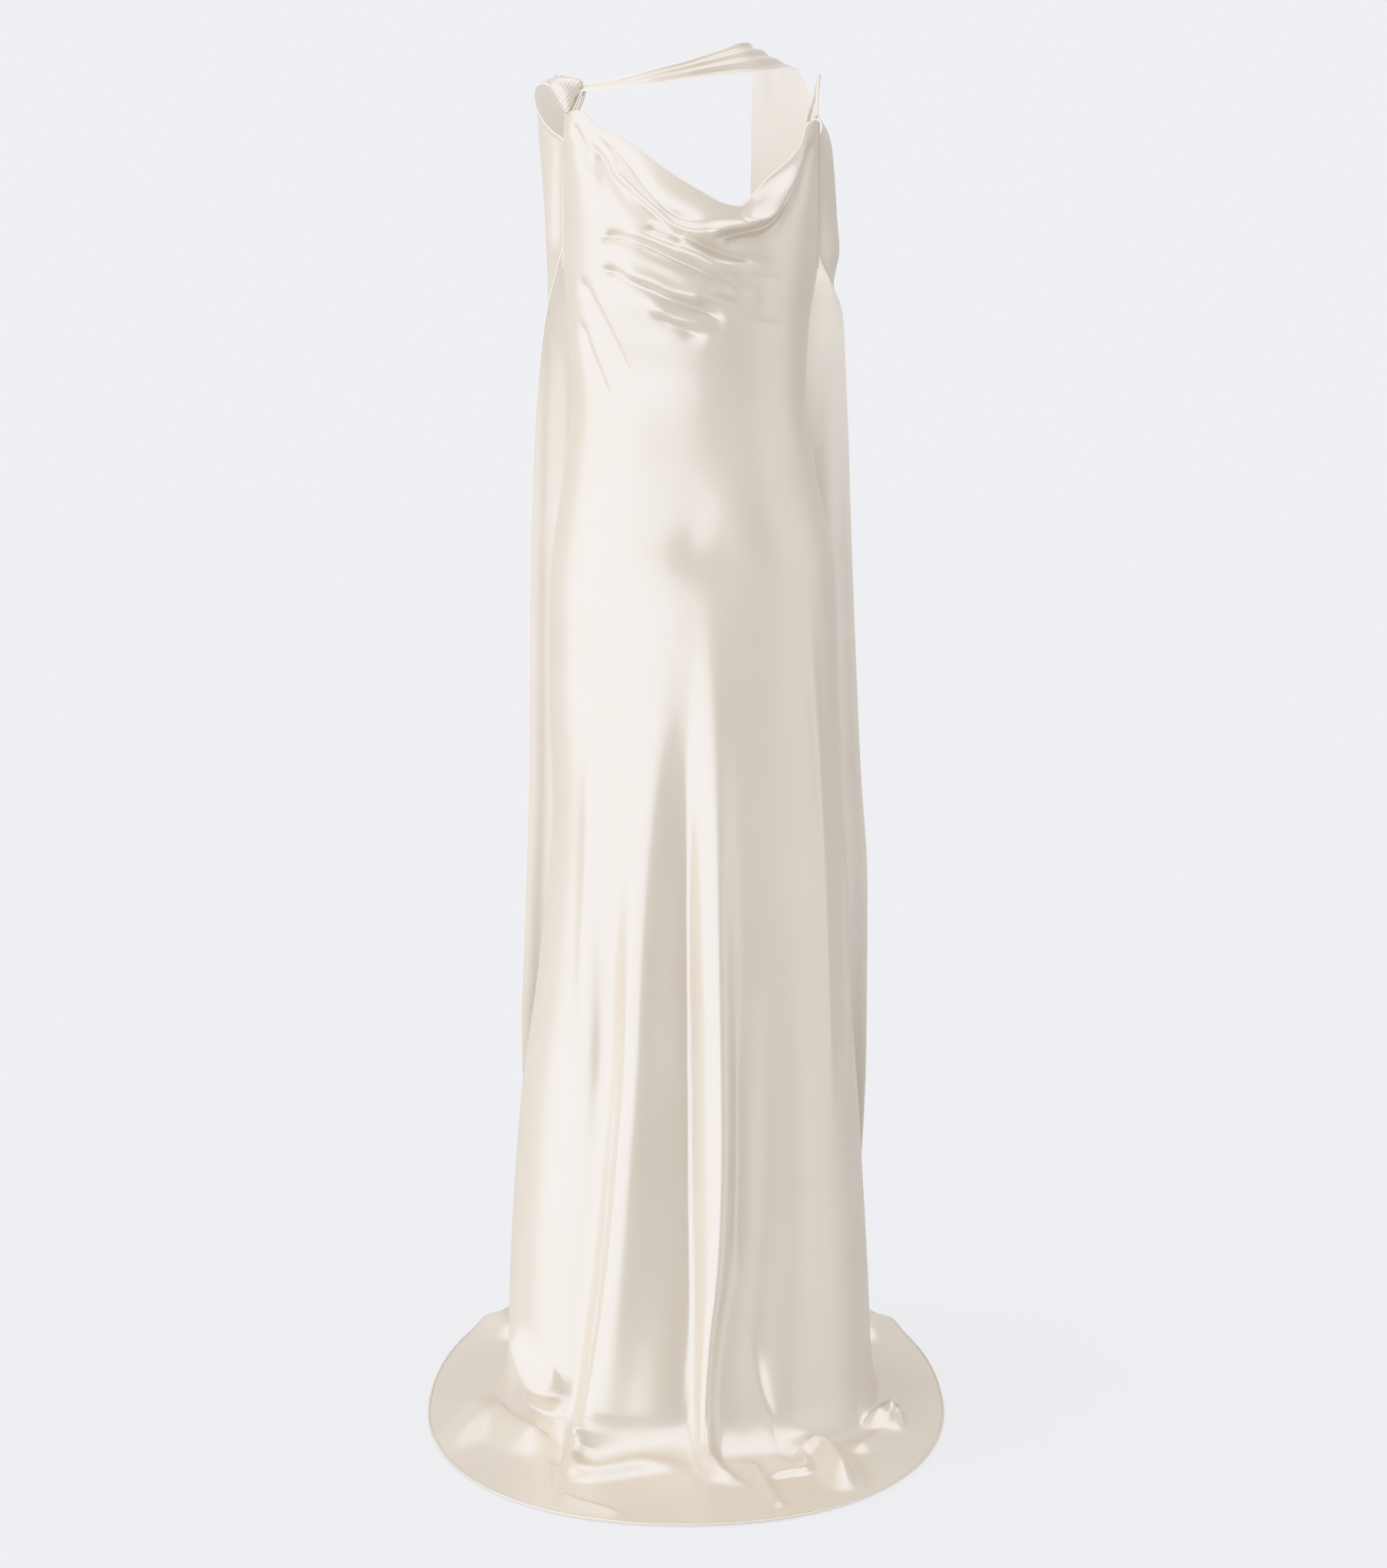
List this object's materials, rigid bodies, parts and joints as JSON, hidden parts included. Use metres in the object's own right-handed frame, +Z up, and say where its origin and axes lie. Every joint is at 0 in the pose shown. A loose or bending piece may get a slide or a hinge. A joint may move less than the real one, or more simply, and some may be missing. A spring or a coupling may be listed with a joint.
{
  "type": "wedding dress",
  "caption": "Sleeveless floor-length satin wedding dress, worn form: cowl neck, knotted shoulder, neck scarf, hanging capes and a hem that puddles.",
  "frame": {"origin": "middle between the wearer's shoulders, at the height of their tops, 1.52 m above the floor that the hem lies on", "axes": "+Z up, the front of the dress faces -Y, the wearer's left is +X"},
  "size_m": [0.6174, 0.8471, 1.5956],
  "materials": {
    "ivory_satin": "satin, dull on the reverse"
  },
  "bodies": {
    "root": {"front_panel": "ivory_satin", "back_panel": "ivory_satin", "shoulder_knot": "ivory_satin", "neck_scarf": "ivory_satin", "cape_right": "ivory_satin", "cape_left": "ivory_satin", "shoulder_strap": "ivory_satin"}
  },
  "joints": []
}
